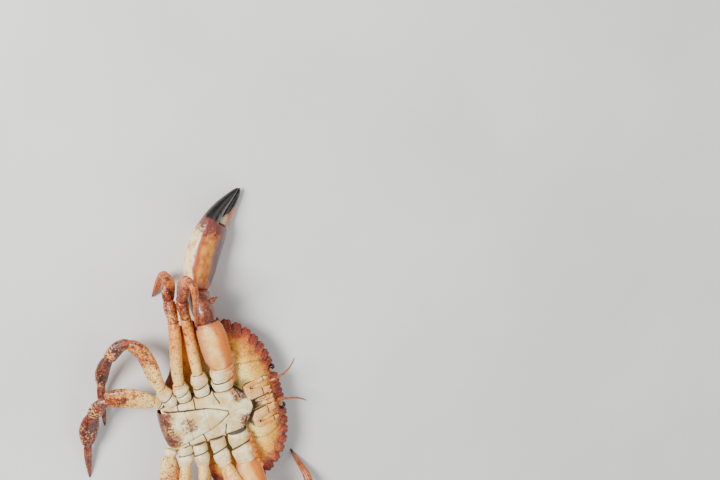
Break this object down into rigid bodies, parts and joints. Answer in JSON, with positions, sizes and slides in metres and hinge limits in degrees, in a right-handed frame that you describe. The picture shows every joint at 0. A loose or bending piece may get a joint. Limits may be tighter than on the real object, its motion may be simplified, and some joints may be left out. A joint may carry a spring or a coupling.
{
  "type": "rock crab",
  "caption": "Life-size rock crab lying on its back, belly up, legs spread, dark-tipped claws reaching out to the sides and scalloped edge to its shell.",
  "frame": {"origin": "middle of the small flat where the crown of the shell's back rests on the floor", "axes": "+X is the crab's front, +Y its right side, +Z the way its belly faces, up from the floor"},
  "size_m": [0.1955, 0.3703, 0.0737],
  "materials": {
    "shell": "granular brick-red and orange shell with a satin sheen",
    "belly": "smooth pale cream shell with a satin sheen",
    "limb": "cream to orange shell with dark red speckles, satin",
    "limb_end": "mottled dark red shell, satin",
    "claw": "orange and cream shell with red-brown ridges, satin to glossy",
    "claw_tip": "glossy black horn",
    "eye": "glossy black",
    "feeler": "red-brown, satin"
  },
  "bodies": {
    "root": {"right_leg_1_base": "belly", "right_leg_1_merus": "limb", "right_leg_1_carpus": "limb_end", "right_leg_1_propodus": "limb_end", "right_leg_1_dactyl": "limb_end", "right_leg_2_base": "belly", "right_leg_2_merus": "limb", "right_leg_2_carpus": "limb_end", "right_leg_2_propodus": "limb_end", "right_leg_2_dactyl": "limb_end", "right_leg_3_base": "belly", "right_leg_3_merus": "limb", "right_leg_3_carpus": "limb_end", "right_leg_3_propodus": "limb_end", "right_leg_3_dactyl": "limb_end", "right_leg_4_base": "belly", "right_leg_4_merus": "limb", "right_leg_4_carpus": "limb_end", "right_leg_4_propodus": "limb_end", "right_leg_4_dactyl": "limb_end", "left_leg_1_base": "belly", "left_leg_1_merus": "limb", "left_leg_1_carpus": "limb_end", "left_leg_1_propodus": "limb_end", "left_leg_1_dactyl": "limb_end", "left_leg_2_base": "belly", "left_leg_2_merus": "limb", "left_leg_2_carpus": "limb_end", "left_leg_2_propodus": "limb_end", "left_leg_2_dactyl": "limb_end", "left_leg_3_base": "belly", "left_leg_3_merus": "limb", "left_leg_3_carpus": "limb_end", "left_leg_3_propodus": "limb_end", "left_leg_3_dactyl": "limb_end", "left_leg_4_base": "belly", "left_leg_4_merus": "limb", "left_leg_4_carpus": "limb_end", "left_leg_4_propodus": "limb_end", "left_leg_4_dactyl": "limb_end", "right_claw_base": "belly", "right_claw_merus": "claw", "right_claw_carpus": "claw", "right_claw_hand": "claw", "right_claw_finger": "claw_tip", "left_claw_base": "belly", "left_claw_merus": "claw", "left_claw_carpus": "claw", "left_claw_hand": "claw", "left_claw_finger": "claw_tip", "right_jaw": "belly", "right_eye": "eye", "right_feeler": "feeler", "left_jaw": "belly", "left_eye": "eye", "left_feeler": "feeler", "mandibles": "belly", "abdomen": "belly", "sternum": "belly", "carapace": "shell"}
  },
  "joints": []
}
